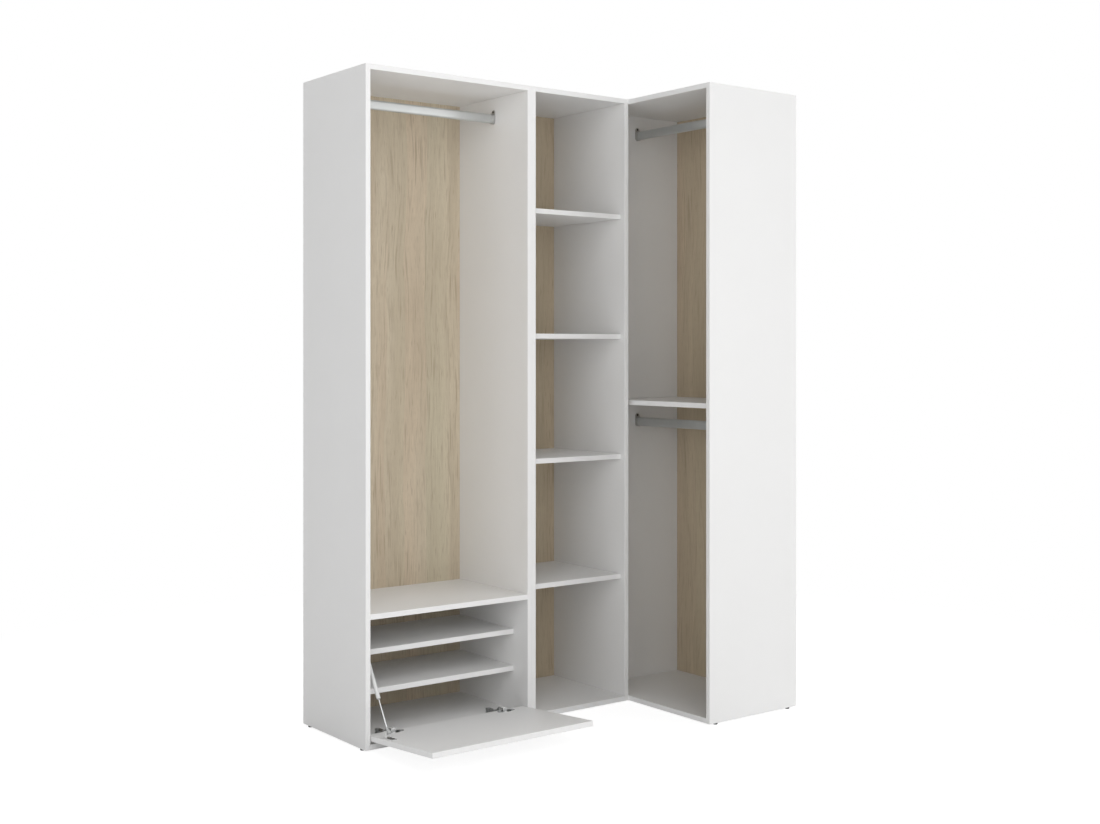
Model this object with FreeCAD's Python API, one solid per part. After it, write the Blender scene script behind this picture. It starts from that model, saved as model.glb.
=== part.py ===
import FreeCAD, Part
import math
import os

# Corner wardrobe of three open modules. Millimetres, +Z up, +X along the long wing, whose fronts
# face -Y. The origin is on the floor, below the middle of the wardrobe's plan.

Vector = FreeCAD.Vector
AXIS_X = Vector(1, 0, 0)
AXIS_Y = Vector(0, 1, 0)
AXIS_Z = Vector(0, 0, 1)

# Carcass boards
board_thickness = 16.0
back_thickness = 3.0
panel_height = 2000.0
module_depth = 390.0
left_width = 600.0
middle_width = 400.0
right_width = 590.0
wing_reach = 390.0
back_margin = 1.0

# Boards between the sides: heights are of the underside, above the panels' underside
bench_low = 379.0
shoe_shelf_low = 141.5
shoe_shelf_pitch = 118.0
shoe_shelf_setback = 76.0
middle_shelf_count = 4
middle_shelf_low = 404.0
middle_shelf_pitch = 399.0
right_shelf_low = 982.0
shelf_setback = 20.0
shelf_end_gap = 0.5

# Fits
fit_clearance = 0.05
hole_slack = 1.0
cut_overrun = 5.0

# Wooden dowels and cam fittings at the ends of the fixed boards
dowel_radius = 4.0
dowel_in_panel = 10.0
dowel_in_board = 20.0
dowel_spacing = 32.0
cam_radius = 7.5
cam_height = 12.0
cam_distance = 24.0
cam_inset = 50.0
cam_slot_width = 1.6
cam_slot_depth = 2.0
cam_slot_length = 9.0
bolt_radius = 3.0
bolt_in_panel = 10.0

# Pins under the loose shelves, hidden in slots in the shelf ends
pin_radius = 2.5
pin_in_panel = 8.0
pin_in_shelf = 8.0
pin_inset = 37.0
pin_slot_height = 6.0

# Nails that hold the backs
nail_radius = 0.7
nail_head_radius = 1.6
nail_head_height = 0.8
nail_length = 20.0
nail_pitch = 250.0
nail_margin = 60.0
nail_board_shares = (1 / 3, 2 / 3)

# Glides under the sides
glide_radius = 7.0
glide_height = 5.0
glide_inset = 32.0
glide_nail_radius = 1.0
glide_nail_head_radius = 2.5
glide_nail_head_height = 1.0
glide_nail_in_panel = 13.0

# Oval hanging rails and their brackets
rail_height = 30.0
rail_width = 15.0
rail_wall = 1.0
rail_drop = 67.0
rail_end_gap = 3.0
left_rail_setback = 187.0
right_rail_setback = 197.0
bracket_plate = 2.0
bracket_wall = 2.0
bracket_tab_rise = 12.0
bracket_depth = 12.0
bracket_screw_drop = 6.5

# Chipboard screws: head radius, head height, shank radius and length below the head
small_head_radius = 3.4
small_head_height = 1.8
small_shank_radius = 1.6
small_screw_length = 12.0
long_head_radius = 4.0
long_head_height = 2.2
long_shank_radius = 2.0
long_screw_length = 28.0

# Screws that join the left and middle modules, and steel angles in the hidden corner
join_height_shares = (0.12, 0.88)
join_inset = 60.0
angle_leg = 30.0
angle_thickness = 2.0
angle_width = 20.0
angle_height_shares = (0.1, 0.35, 0.65, 0.9)

# Drop-down flap of the shoe compartment
flap_side_gap = 2.0
flap_bottom_gap = 5.0
flap_top_gap = 2.0
flap_open_angle = 85.7
pivot_behind_face = 10.5
pivot_above_edge = 13.5

# Concealed cup hinges
hinge_inset = 80.0
cup_radius = 17.5
cup_depth = 12.0
cup_wall = 1.0
cup_edge = 5.0
flange_length = 62.0
flange_width = 22.0
flange_thickness = 1.2
flange_screw_spacing = 48.0
lug_thickness = 2.0
lug_radius = 4.0
hinge_pin_radius = 1.5
hinge_pin_end = 0.5
arm_width = 14.0
arm_side_gap = 0.5
arm_eye_radius = 3.5
arm_leg_thickness = 5.0
arm_rise = 14.5
arm_bridge_thickness = 4.5
arm_rim_clearance = 2.4
arm_shoulder = 3.0
arm_slope_run = 20.0
arm_foot_length = 75.0
arm_foot_thickness = 6.0
arm_screw_inset = 9.0
arm_screw_spacing = 28.0
plate_thickness = 2.0
plate_block_height = 6.0
plate_block_width = 11.0
plate_wing_length = 62.0
plate_wing_width = 14.0
plate_screw_spacing = 44.0

# Gas strut between the flap and the left side
strut_offset = 22.0
strut_drop = 109.0
strut_foot_along = 89.0
strut_foot_height = 16.5
strut_tube_radius = 6.0
strut_tube_wall = 1.2
strut_tube_cap = 3.0
strut_rod_radius = 2.0
strut_guide_length = 10.0
strut_piston_length = 8.0
strut_piston_gap = 1.0
strut_closed_gap = 4.0
socket_radius = 6.0
socket_width = 12.0
socket_shank_radius = 4.0
socket_shank_length = 16.0
socket_seat = 9.0
stud_radius = 2.5
stud_length = 2.5
stud_shoulder_radius = 4.0
stud_gap = 0.3
strut_plate_thickness = 2.0
strut_plate_width = 14.0
strut_plate_length = 44.0
strut_plate_gap = 3.0
strut_plate_screw_spacing = 30.0
foot_tab_width = 14.0
foot_tab_margin = 5.5
foot_behind = 5.0
foot_ahead = 38.0
foot_screw_first = 14.0
foot_screw_spacing = 16.0

# Planes of the whole wardrobe
inner_depth = module_depth - back_thickness
overall_width = left_width + middle_width + module_depth
left_x = -overall_width / 2
corner_x = left_x + left_width + middle_width
front_y = (wing_reach - module_depth) / 2
corner_y = front_y - wing_reach + right_width

nodes = {}


def block(low, high):
    """A box between two corners."""
    size = high - low
    return Part.makeBox(size.x, size.y, size.z, low)


def bar(radius, start, end):
    """A round bar between two points."""
    along = end - start
    return Part.makeCylinder(radius, along.Length, start, along)


def stadium(length, width, thickness):
    """A flat bar with round ends: long along X, thick along +Z, centred on the origin."""
    radius = width / 2
    reach = length / 2 - radius
    corners = [Vector(-reach, -radius, 0), Vector(reach, -radius, 0),
               Vector(reach, radius, 0), Vector(-reach, radius, 0)]
    edges = [Part.makeLine(corners[0], corners[1]),
             Part.Arc(corners[1], Vector(reach + radius, 0, 0), corners[2]).toShape(),
             Part.makeLine(corners[2], corners[3]),
             Part.Arc(corners[3], Vector(-reach - radius, 0, 0), corners[0]).toShape()]
    return Part.Face(Part.Wire(edges)).extrude(AXIS_Z * thickness)


def turned(shape, place, rotation):
    """A copy of a shape, turned about the origin and then moved to a place."""
    moved = shape.copy()
    moved.Placement = FreeCAD.Placement(place, rotation).multiply(moved.Placement)
    return moved


def upright_stadium(height, width, length, start):
    """A stadium section that stands up along Z and runs along +X from its start point."""
    return turned(stadium(height, width, length), start, FreeCAD.Rotation(AXIS_Y, 90))


def profile(points, x_low, x_high):
    """A prism along X over an outline of (y, z) points."""
    corners = [Vector(x_low, y, z) for y, z in points]
    outline = Part.makePolygon(corners + corners[:1])
    return Part.Face(outline).extrude(AXIS_X * (x_high - x_low))


def drilled(shape, cutters):
    """A solid with cutters taken out of it."""
    return shape.cut(cutters).Solids[0] if cutters else shape


def joined(shapes):
    """One solid out of shapes that touch or overlap."""
    return shapes[0].multiFuse(shapes[1:]).removeSplitter().Solids[0]


def small_screw():
    """A small pan-head chipboard screw, with its seat at the origin and its head along +Z."""
    head = bar(small_head_radius, Vector(), AXIS_Z * small_head_height)
    return joined([head, bar(small_shank_radius, AXIS_Z * -small_screw_length, Vector())])


def long_screw():
    """A long chipboard screw with a sunk head, flush with the face at the origin."""
    head = bar(long_head_radius, AXIS_Z * -long_head_height, Vector())
    return joined([head, bar(long_shank_radius, AXIS_Z * -long_screw_length, Vector())])


def small_screw_hole():
    """The pilot hole of a small screw."""
    reach = small_screw_length + hole_slack
    return bar(small_shank_radius + fit_clearance, AXIS_Z * -reach, AXIS_Z * cut_overrun)


def long_screw_hole():
    """The pilot hole and head recess of a long screw."""
    reach = long_screw_length + hole_slack
    recess = bar(long_head_radius + fit_clearance, AXIS_Z * -long_head_height, AXIS_Z * cut_overrun)
    return joined([recess, bar(long_shank_radius + fit_clearance, AXIS_Z * -reach, Vector())])


def cam_disc():
    """A cam disc with a cross slot in its face, which lies at the origin and looks along +Z."""
    disc = bar(cam_radius, AXIS_Z * -cam_height, Vector())
    half = Vector(cam_slot_length, cam_slot_width, 0) / 2
    slot = block(-half - AXIS_Z * cam_slot_depth, half + AXIS_Z * cut_overrun)
    crossing = turned(slot, Vector(), FreeCAD.Rotation(AXIS_Z, 90))
    return drilled(disc, [slot, crossing])


def back_nail():
    """A nail with its head flush at the origin and its point along -Z."""
    head = bar(nail_head_radius, AXIS_Z * -nail_head_height, Vector())
    return joined([head, bar(nail_radius, AXIS_Z * -nail_length, Vector())])


def back_nail_hole():
    """The hole that a back nail makes, with the recess of its head."""
    reach = nail_length + hole_slack
    recess = bar(nail_head_radius + fit_clearance, AXIS_Z * -nail_head_height, AXIS_Z * cut_overrun)
    return joined([recess, bar(nail_radius + fit_clearance, AXIS_Z * -reach, Vector())])


class Module:
    """One box of the wardrobe. Its own axes start at the front lower corner of its first side:
    x across to the second side, y back from the front edges, z up from the underside."""

    def __init__(self, width, place, turn, first_side, second_side):
        self.width = width
        self.placement = FreeCAD.Placement(place, FreeCAD.Rotation(AXIS_Z, turn))
        self.sides = (first_side, second_side)
        self.boards = {}
        self.cutters = {}
        for node, low in zip(self.sides, (0, width - board_thickness)):
            high = Vector(low + board_thickness, inner_depth, panel_height)
            self.boards[node] = block(Vector(low, 0, 0), high)
            self.add_glides(node, low + board_thickness / 2)

    def put(self, node, shape):
        """Add a finished solid to a node of the wardrobe."""
        placed = shape.copy()
        placed.Placement = self.placement.multiply(placed.Placement)
        nodes.setdefault(node, []).append(placed)

    def drill(self, node, cutter):
        """Note a hole or slot for a board of this module."""
        self.cutters.setdefault(node, []).append(cutter)

    def drive(self, node, screw, hole, seat, outward, boards):
        """Drive a screw or nail at a seat, with its hole in each of the boards it enters."""
        rotation = FreeCAD.Rotation(AXIS_Z, outward)
        self.put(node, turned(screw, seat, rotation))
        for board in boards:
            self.drill(board, turned(hole, seat, rotation))

    def ends(self):
        """Each side's node, the x of its inner face and the direction into the module."""
        return ((self.sides[0], board_thickness, 1), (self.sides[1], self.width - board_thickness, -1))

    def add_glides(self, side, x):
        """Two nail-on glides under a side."""
        for y in (glide_inset, inner_depth - glide_inset):
            foot = Vector(x, y, -glide_height)
            disc = bar(glide_radius, foot, foot + AXIS_Z * glide_height)
            head_top = foot + AXIS_Z * glide_nail_head_height
            tip = Vector(x, y, glide_nail_in_panel)
            shank_hole = bar(glide_nail_radius + fit_clearance, foot, tip + AXIS_Z * hole_slack)
            head_hole = bar(glide_nail_head_radius + fit_clearance, foot, head_top)
            self.put("glides", drilled(disc, [head_hole, shank_hole]))
            nail = [bar(glide_nail_head_radius, foot, head_top), bar(glide_nail_radius, head_top, tip)]
            self.put("glide_nails", joined(nail))
            self.drill(side, shank_hole)

    def add_fixed_board(self, node, low, setback, cams_up):
        """A board held between the sides by dowels and cam fittings."""
        front = Vector(board_thickness, setback, low)
        rear = Vector(self.width - board_thickness, inner_depth, low + board_thickness)
        self.boards[node] = block(front, rear)
        middle = low + board_thickness / 2
        cam_spots = ((setback + cam_inset, dowel_spacing), (inner_depth - cam_inset, -dowel_spacing))
        for side, face, inward in self.ends():
            across = AXIS_X * inward
            for y, to_dowel in cam_spots:
                self.add_cam(node, side, Vector(face, y, middle), across, cams_up)
                self.add_dowel(node, side, Vector(face, y + to_dowel, middle), across)

    def add_dowel(self, node, side, mouth, across):
        """A dowel across the joint between a side and a board's end."""
        start = mouth - across * dowel_in_panel
        end = mouth + across * dowel_in_board
        self.put("dowels", bar(dowel_radius, start, end))
        hole = bar(dowel_radius + fit_clearance, start - across * hole_slack, end + across * hole_slack)
        self.drill(side, hole)
        self.drill(node, hole)

    def add_cam(self, node, side, mouth, across, cams_up):
        """A bolt in the side and the cam disc in the board that pulls on it."""
        start = mouth - across * bolt_in_panel
        end = mouth + across * (cam_distance - cam_radius - hole_slack)
        self.put("cam_bolts", bar(bolt_radius, start, end))
        hole = bar(bolt_radius + fit_clearance, start - across * hole_slack, mouth + across * cam_distance)
        self.drill(side, hole)
        self.drill(node, hole)
        outward = AXIS_Z if cams_up else -AXIS_Z
        face = mouth + across * cam_distance + outward * (board_thickness / 2)
        rotation = FreeCAD.Rotation(AXIS_X, 0 if cams_up else 180)
        self.put("cam_discs", turned(cam_disc(), face, rotation))
        floor = face - outward * cam_height
        self.drill(node, bar(cam_radius + fit_clearance, floor, face + outward * cut_overrun))

    def add_loose_shelf(self, node, low, setback):
        """A shelf that lies on four pins, hidden in slots in its ends."""
        gap = board_thickness + shelf_end_gap
        front = Vector(gap, setback, low)
        self.boards[node] = block(front, Vector(self.width - gap, inner_depth, low + board_thickness))
        half_slot = pin_radius + fit_clearance
        z = low + pin_slot_height - half_slot
        for side, face, inward in self.ends():
            across = AXIS_X * inward
            for y in (setback + pin_inset, inner_depth - pin_inset):
                mouth = Vector(face, y, z)
                start = mouth - across * pin_in_panel
                end = mouth + across * pin_in_shelf
                self.put("shelf_pins", bar(pin_radius, start, end))
                self.drill(side, bar(half_slot, start - across * hole_slack, mouth))
                slot_ends = sorted((face, end.x + inward * hole_slack))
                slot_low = Vector(slot_ends[0], y - half_slot, low - cut_overrun)
                slot_high = Vector(slot_ends[1], y + half_slot, low + pin_slot_height)
                self.drill(node, block(slot_low, slot_high))

    def add_back(self, node, nailed_boards):
        """A thin back nailed on behind the sides and the fixed boards."""
        low = Vector(back_margin, inner_depth, back_margin)
        high = Vector(self.width - back_margin, module_depth, panel_height - back_margin)
        self.boards[node] = block(low, high)
        rows = round((panel_height - 2 * nail_margin) / nail_pitch)
        step = (panel_height - 2 * nail_margin) / rows
        spots = []
        for side, x in zip(self.sides, (board_thickness / 2, self.width - board_thickness / 2)):
            spots += [(side, x, nail_margin + step * row) for row in range(rows + 1)]
        for board in nailed_boards:
            z = self.boards[board].BoundBox.Center.z
            spots += [(board, self.width * share, z) for share in nail_board_shares]
        for board, x, z in spots:
            seat = Vector(x, module_depth, z)
            self.drive("back_nails", back_nail(), back_nail_hole(), seat, AXIS_Y, (board, node))

    def add_rail(self, node, setback, under):
        """An oval hanging rail between two screwed brackets, below the board at a height."""
        z = under - rail_drop
        ring_height = rail_height + 2 * bracket_wall
        ring_width = rail_width + 2 * bracket_wall
        plate_height = ring_height + bracket_tab_rise
        bore = (rail_height + 2 * fit_clearance, rail_width + 2 * fit_clearance)
        for side, face, inward in self.ends():
            plate_x = min(face, face + inward * bracket_plate)
            plate = upright_stadium(plate_height, ring_width, bracket_plate,
                                    Vector(plate_x, setback, z + bracket_tab_rise / 2))
            ring_x = min(face, face + inward * bracket_depth)
            centre = Vector(ring_x, setback, z)
            ring = upright_stadium(ring_height, ring_width, bracket_depth, centre)
            bore_x = min(face + inward * bracket_plate, face + inward * (bracket_depth + cut_overrun))
            bore_length = bracket_depth + cut_overrun - bracket_plate
            hollow = upright_stadium(bore[0], bore[1], bore_length, Vector(bore_x, setback, z))
            across = AXIS_X * inward
            seat_x = face + inward * bracket_plate
            tab_top = z + ring_height / 2 + bracket_tab_rise
            seats = [Vector(seat_x, setback, tab_top - bracket_screw_drop), Vector(seat_x, setback, z)]
            rotation = FreeCAD.Rotation(AXIS_Z, across)
            holes = [turned(small_screw_hole(), seat, rotation) for seat in seats]
            self.put("rail_brackets", drilled(joined([plate, ring]), [hollow] + holes))
            for seat in seats:
                self.drive("rail_screws", small_screw(), small_screw_hole(), seat, across, (side,))
        start = board_thickness + bracket_plate + rail_end_gap
        length = self.width - 2 * start
        tube = upright_stadium(rail_height, rail_width, length, Vector(start, setback, z))
        inside = upright_stadium(rail_height - 2 * rail_wall, rail_width - 2 * rail_wall,
                                 length + 2 * cut_overrun, Vector(start - cut_overrun, setback, z))
        self.put(node, drilled(tube, [inside]))

    def finish(self):
        """Cut every board's holes and slots and add the boards to the wardrobe."""
        for node, board in self.boards.items():
            self.put(node, drilled(board, self.cutters.get(node, [])))


left = Module(left_width, Vector(left_x, front_y, glide_height), 0, "left_outer_side", "left_inner_side")
middle = Module(middle_width, Vector(left_x + left_width, front_y, glide_height), 0,
                "middle_left_side", "middle_right_side")
right = Module(right_width, Vector(corner_x, corner_y, glide_height), -90,
               "right_inner_side", "right_end_side")
top_low = panel_height - board_thickness


def build_left():
    """The wide module: hanging space with a rail, a bench and two short shoe shelves."""
    left.add_fixed_board("left_top", top_low, 0, True)
    left.add_fixed_board("left_bottom", 0, 0, False)
    left.add_fixed_board("left_bench", bench_low, 0, False)
    left.add_loose_shelf("shoe_shelf_lower", shoe_shelf_low, shoe_shelf_setback)
    left.add_loose_shelf("shoe_shelf_upper", shoe_shelf_low + shoe_shelf_pitch, shoe_shelf_setback)
    left.add_back("left_back", ("left_top", "left_bottom", "left_bench"))
    left.add_rail("left_rail", left_rail_setback, top_low)


def build_middle():
    """The narrow module of shelves."""
    middle.add_fixed_board("middle_top", top_low, 0, True)
    middle.add_fixed_board("middle_bottom", 0, 0, False)
    for index in range(middle_shelf_count):
        low = middle_shelf_low + middle_shelf_pitch * index
        middle.add_loose_shelf(f"middle_shelf_{index + 1}", low, shelf_setback)
    middle.add_back("middle_back", ("middle_top", "middle_bottom"))


def build_right():
    """The module across the corner: two hanging spaces with a shelf between them."""
    right.add_fixed_board("right_top", top_low, 0, True)
    right.add_fixed_board("right_bottom", 0, 0, False)
    right.add_fixed_board("right_shelf", right_shelf_low, shelf_setback, False)
    right.add_back("right_back", ("right_top", "right_bottom", "right_shelf"))
    right.add_rail("right_upper_rail", right_rail_setback, top_low)
    right.add_rail("right_lower_rail", right_rail_setback, right_shelf_low)


def join_modules():
    """Screws from the middle module into the left one, and angles in the corner of the right one."""
    for share in join_height_shares:
        for y in (join_inset, inner_depth - join_inset):
            seat = Vector(board_thickness, y, panel_height * share)
            middle.drive("module_screws", long_screw(), long_screw_hole(), seat, AXIS_X,
                         ("middle_left_side",))
            left.drill("left_inner_side", turned(long_screw_hole(), seat + AXIS_X * left_width,
                                                 FreeCAD.Rotation(AXIS_Z, AXIS_X)))
    to_middle = middle.placement.inverse().multiply(right.placement)
    for share in angle_height_shares:
        corner = Vector(board_thickness, 0, panel_height * share - angle_width / 2)
        leg_on_side = block(corner, corner + Vector(angle_thickness, angle_leg, angle_width))
        leg_on_front = block(corner, corner + Vector(angle_leg, angle_thickness, angle_width))
        middle_height = AXIS_Z * (angle_width / 2)
        seats = [(corner + Vector(angle_thickness, angle_leg / 2, 0) + middle_height, AXIS_X),
                 (corner + Vector(angle_leg / 2, angle_thickness, 0) + middle_height, AXIS_Y)]
        holes = [turned(small_screw_hole(), seat, FreeCAD.Rotation(AXIS_Z, outward))
                 for seat, outward in seats]
        right.put("corner_angles", drilled(joined([leg_on_side, leg_on_front]), holes))
        right.drive("corner_screws", small_screw(), small_screw_hole(), *seats[0], ("right_inner_side",))
        right.drive("corner_screws", small_screw(), small_screw_hole(), *seats[1], ())
        into_middle = holes[1].copy()
        into_middle.Placement = to_middle.multiply(into_middle.Placement)
        middle.drill("middle_right_side", into_middle)


# The flap is made shut, with its outer face flush with the fronts, and then swung open
flap_low = board_thickness + flap_bottom_gap
pivot = Vector(0, pivot_behind_face, flap_low + pivot_above_edge)
hinge_spots = (board_thickness + flap_side_gap + hinge_inset,
               left_width - board_thickness - flap_side_gap - hinge_inset)


def opened(shape):
    """A copy of something on the flap, swung from shut to its open rest."""
    swung = shape.copy()
    swung.rotate(pivot, AXIS_X, flap_open_angle)
    return swung


def build_flap():
    """The flap's board and the two hinges that carry it."""
    gap = board_thickness + flap_side_gap
    panel = block(Vector(gap, 0, flap_low),
                  Vector(left_width - gap, board_thickness, bench_low - flap_top_gap))
    cutters = strut_foot_holes()
    for x in hinge_spots:
        cutters += build_hinge_cup(x)
        build_hinge_arm(x)
    left.put("flap_panel", opened(drilled(panel, cutters)))


def build_hinge_cup(x):
    """A cup with its flange, lugs, pin and screws. Gives the holes that it needs in the flap."""
    centre = Vector(x, board_thickness, flap_low + cup_edge + cup_radius)
    floor = centre - AXIS_Y * cup_depth
    shell = bar(cup_radius, floor, centre)
    flat_flange = stadium(flange_length, flange_width, flange_thickness)
    flange = turned(flat_flange, centre, FreeCAD.Rotation(AXIS_X, -90))
    hollow = bar(cup_radius - cup_wall, floor + AXIS_Y * cup_wall, centre + AXIS_Y * cut_overrun)
    axle = pivot + AXIS_X * x
    lug_inside = arm_width / 2 + arm_side_gap
    lugs = []
    for side in (-1, 1):
        ends = sorted((x + side * lug_inside, x + side * (lug_inside + lug_thickness)))
        low = Vector(ends[0], floor.y, axle.z - lug_radius)
        high = Vector(ends[1], axle.y, axle.z + lug_radius)
        lugs.append(block(low, high))
        lugs.append(bar(lug_radius, Vector(ends[0], axle.y, axle.z), Vector(ends[1], axle.y, axle.z)))
    lug_room = bar(cup_radius, floor, centre + AXIS_Y * cut_overrun)
    lugs = [lug.common(lug_room) for lug in lugs]
    pin_reach = AXIS_X * (lug_inside + lug_thickness + hinge_pin_end)
    pin = bar(hinge_pin_radius, axle - pin_reach, axle + pin_reach)
    pin_hole = bar(hinge_pin_radius + fit_clearance, axle - pin_reach, axle + pin_reach)
    seats = [centre + Vector(side * flange_screw_spacing / 2, flange_thickness, 0) for side in (-1, 1)]
    holes = [turned(small_screw_hole(), seat, FreeCAD.Rotation(AXIS_Z, AXIS_Y)) for seat in seats]
    shell = drilled(joined([shell, flange]), [hollow])
    left.put("hinge_cups", opened(drilled(joined([shell] + lugs), holes + [pin_hole])))
    left.put("hinge_pins", opened(pin))
    for seat in seats:
        screw = turned(small_screw(), seat, FreeCAD.Rotation(AXIS_Z, AXIS_Y))
        left.put("hinge_cup_screws", opened(screw))
    bore = bar(cup_radius + fit_clearance, floor, centre + AXIS_Y * cut_overrun)
    return holes + [bore]


def build_hinge_arm(x):
    """The cranked arm that reaches over the flap's edge, and the plate that holds it on the bottom."""
    half_leg = arm_leg_thickness / 2
    rim_sweep = math.hypot(pivot_behind_face, pivot_above_edge)
    neck = pivot.y + rim_sweep + arm_rim_clearance
    top = pivot.z + arm_rise
    shoulder = neck + arm_shoulder
    foot_low = board_thickness + plate_thickness + plate_block_height
    foot_high = foot_low + arm_foot_thickness
    foot_end = neck + arm_foot_length
    outline = [(pivot.y - half_leg, pivot.z), (pivot.y - half_leg, top), (shoulder, top),
               (shoulder + arm_slope_run, foot_high), (foot_end, foot_high), (foot_end, foot_low),
               (neck, foot_low), (neck, top - arm_bridge_thickness),
               (pivot.y + half_leg, top - arm_bridge_thickness), (pivot.y + half_leg, pivot.z)]
    half_arm = AXIS_X * (arm_width / 2)
    axle = pivot + AXIS_X * x
    arm = joined([profile(outline, x - arm_width / 2, x + arm_width / 2),
                  bar(arm_eye_radius, axle - half_arm, axle + half_arm)])
    eye = bar(hinge_pin_radius + fit_clearance, axle - half_arm * 2, axle + half_arm * 2)

    spine_middle = (neck + foot_end) / 2
    spine = block(Vector(x - arm_width / 2, neck, board_thickness),
                  Vector(x + arm_width / 2, foot_end, board_thickness + plate_thickness))
    wing_half = Vector(plate_wing_length, plate_wing_width, 0) / 2
    wing_centre = Vector(x, spine_middle, board_thickness)
    wings = block(wing_centre - wing_half, wing_centre + wing_half + AXIS_Z * plate_thickness)
    core = block(Vector(x - plate_block_width / 2, neck, board_thickness),
                 Vector(x + plate_block_width / 2, foot_end, foot_low))

    rear = foot_end - arm_screw_inset
    arm_seats = [Vector(x, rear, foot_high), Vector(x, rear - arm_screw_spacing, foot_high)]
    arm_holes = [turned(small_screw_hole(), seat, FreeCAD.Rotation()) for seat in arm_seats]
    plate_seats = [wing_centre + Vector(side * plate_screw_spacing / 2, 0, plate_thickness)
                   for side in (-1, 1)]
    plate_holes = [turned(small_screw_hole(), seat, FreeCAD.Rotation()) for seat in plate_seats]
    left.put("hinge_arms", drilled(arm, [eye] + arm_holes))
    left.put("hinge_plates", drilled(joined([spine, wings, core]), arm_holes + plate_holes))
    for seat in arm_seats:
        left.drive("hinge_arm_screws", small_screw(), small_screw_hole(), seat, AXIS_Z, ())
    for seat in plate_seats:
        left.drive("hinge_plate_screws", small_screw(), small_screw_hole(), seat, AXIS_Z, ("left_bottom",))


# The strut runs from a foot on the flap to a plate on the left side, in a plane of its own
strut_x = board_thickness + strut_offset
strut_top_y = shoe_shelf_setback - strut_plate_gap - strut_plate_width / 2
strut_top = Vector(strut_x, strut_top_y, bench_low - strut_drop)
foot_shut = Vector(strut_x, board_thickness + strut_foot_height, flap_low + strut_foot_along)
flap_swing = FreeCAD.Placement(Vector(), FreeCAD.Rotation(AXIS_X, flap_open_angle), pivot)
foot_open = flap_swing.multVec(foot_shut)
strut_line = strut_top - foot_open
open_length = strut_line.Length
shut_length = (strut_top - foot_shut).Length
rod_shown = open_length - shut_length + socket_shank_length + strut_closed_gap


def strut_foot_seats():
    """The seats of the screws in the strut's foot, with the flap shut."""
    face = board_thickness + strut_plate_thickness
    first = Vector(strut_x, face, foot_shut.z + foot_screw_first)
    return [first, first + AXIS_Z * foot_screw_spacing]


def strut_foot_holes():
    """The pilot holes of the strut's foot in the flap."""
    rotation = FreeCAD.Rotation(AXIS_Z, AXIS_Y)
    return [turned(small_screw_hole(), seat, rotation) for seat in strut_foot_seats()]


def build_strut_foot():
    """The angle on the flap that faces the stud of the rod's end."""
    tab_high_x = strut_x - socket_width / 2 - stud_length - stud_gap
    tab_low_x = tab_high_x - strut_plate_thickness
    base = block(Vector(tab_low_x, board_thickness, foot_shut.z - foot_behind),
                 Vector(strut_x + socket_width / 2, board_thickness + strut_plate_thickness,
                        foot_shut.z + foot_ahead))
    tab = block(Vector(tab_low_x, board_thickness, foot_shut.z - foot_tab_width / 2),
                Vector(tab_high_x, foot_shut.y + foot_tab_margin, foot_shut.z + foot_tab_width / 2))
    left.put("strut_foot", opened(drilled(joined([base, tab]), strut_foot_holes())))
    for seat in strut_foot_seats():
        left.put("strut_foot_screws", opened(turned(small_screw(), seat, FreeCAD.Rotation(AXIS_Z, AXIS_Y))))


def strut_socket(seat_radius):
    """A plastic end socket round a stud at the origin, with its shank along +Z."""
    half = AXIS_X * (socket_width / 2)
    shank_end = AXIS_Z * socket_shank_length
    body = joined([bar(socket_radius, -half, half), bar(socket_shank_radius, Vector(), shank_end)])
    seat = bar(seat_radius + fit_clearance, shank_end - AXIS_Z * socket_seat,
               shank_end + AXIS_Z * cut_overrun)
    return drilled(body, [seat])


def build_strut():
    """The gas strut's tube, rod, piston, guide and end sockets, along the line of the open strut."""
    rotation = FreeCAD.Rotation(AXIS_Z, strut_line)

    def put_on_line(node, shape):
        left.put(node, turned(shape, foot_open, rotation))

    stud_root = AXIS_X * (-socket_width / 2)
    stud = bar(stud_radius, stud_root - AXIS_X * stud_length, stud_root)
    put_on_line("strut_rod_end", joined([strut_socket(strut_rod_radius), stud]))
    rod_start = AXIS_Z * (socket_shank_length - socket_seat)
    guide_start = AXIS_Z * rod_shown
    guide_end = guide_start + AXIS_Z * strut_guide_length
    piston_start = guide_end + AXIS_Z * strut_piston_gap
    piston_end = piston_start + AXIS_Z * strut_piston_length
    put_on_line("strut_rod", bar(strut_rod_radius, rod_start, piston_end))
    bore_radius = strut_tube_radius - strut_tube_wall
    sliding_radius = bore_radius - fit_clearance
    rod_hole = bar(strut_rod_radius + fit_clearance, guide_start - AXIS_Z * cut_overrun,
                   piston_end + AXIS_Z * cut_overrun)
    put_on_line("strut_guide", drilled(bar(sliding_radius, guide_start, guide_end), [rod_hole]))
    put_on_line("strut_piston", drilled(bar(sliding_radius, piston_start, piston_end), [rod_hole]))
    tube_end = AXIS_Z * (open_length - socket_shank_length)
    tube = bar(strut_tube_radius, guide_start, tube_end)
    bore = bar(bore_radius, guide_start - AXIS_Z * cut_overrun, tube_end - AXIS_Z * strut_tube_cap)
    stem_end = tube_end + AXIS_Z * (socket_seat - hole_slack)
    stem = bar(strut_rod_radius, tube_end - AXIS_Z * strut_tube_cap, stem_end)
    put_on_line("strut_tube", joined([drilled(tube, [bore]), stem]))
    top_socket = turned(strut_socket(strut_rod_radius), AXIS_Z * open_length, FreeCAD.Rotation(AXIS_X, 180))
    eye = bar(stud_radius + fit_clearance, AXIS_Z * open_length - AXIS_X * socket_width,
              AXIS_Z * open_length + AXIS_X * socket_width)
    put_on_line("strut_tube_end", drilled(top_socket, [eye]))


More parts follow.
